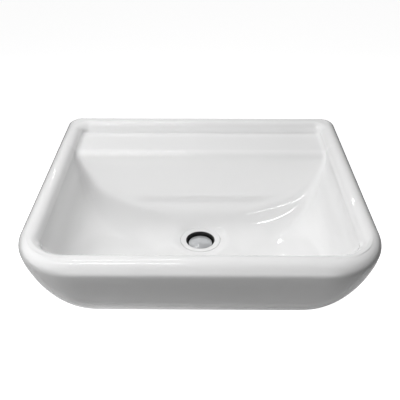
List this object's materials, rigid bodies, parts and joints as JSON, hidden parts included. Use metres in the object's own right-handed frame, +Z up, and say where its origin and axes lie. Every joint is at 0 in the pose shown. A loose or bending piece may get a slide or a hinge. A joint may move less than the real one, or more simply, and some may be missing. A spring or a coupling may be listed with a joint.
{
  "type": "wall-hung hand basin",
  "caption": "White glazed china hand basin that hangs on a wall, with a raised rolled rim, a shelf at the back, a sloped bowl and a push-open waste with its wall fixings.",
  "frame": {"origin": "On the wall face, midway between the two wall bolts, 60 mm below the top of the rim.", "axes": "X to the right as one stands in front of the basin, Y into the wall, Z up."},
  "size_m": [0.48, 0.49, 0.185],
  "materials": {
    "vitreous_china": "gloss",
    "white_plastic": "gloss",
    "grey_plastic": "satin",
    "clear_grey_plastic": "satin",
    "grey_rubber": "matte",
    "black_rubber": "matte",
    "bright_chrome": "polished",
    "bright_steel": "satin",
    "zinc_plated_steel": "satin"
  },
  "bodies": {
    "basin": {"basin_body": "vitreous_china", "waste_body": "white_plastic", "flange_seal": "grey_rubber", "cone_seal": "black_rubber", "slip_washer": "clear_grey_plastic", "back_nut": "white_plastic", "cartridge": "grey_plastic", "cartridge_end_cap": "grey_plastic", "plug_spring": "bright_steel", "fixing_bolt_left": "zinc_plated_steel", "wall_plug_left": "grey_plastic", "fixing_bush_left": "white_plastic", "fixing_washer_left": "zinc_plated_steel", "fixing_nut_left": "zinc_plated_steel", "fixing_bolt_right": "zinc_plated_steel", "wall_plug_right": "grey_plastic", "fixing_bush_right": "white_plastic", "fixing_washer_right": "zinc_plated_steel", "fixing_nut_right": "zinc_plated_steel"},
    "plug": {"plug_cap": "bright_chrome", "plug_seal": "black_rubber", "plug_stem": "bright_steel"}
  },
  "joints": [
    {"name": "plug_lift", "type": "slide", "parent": "basin", "child": "plug", "axis": [0, 0, 1], "range_m": [0, 0.008], "deforming": ["plug_spring"]}
  ]
}
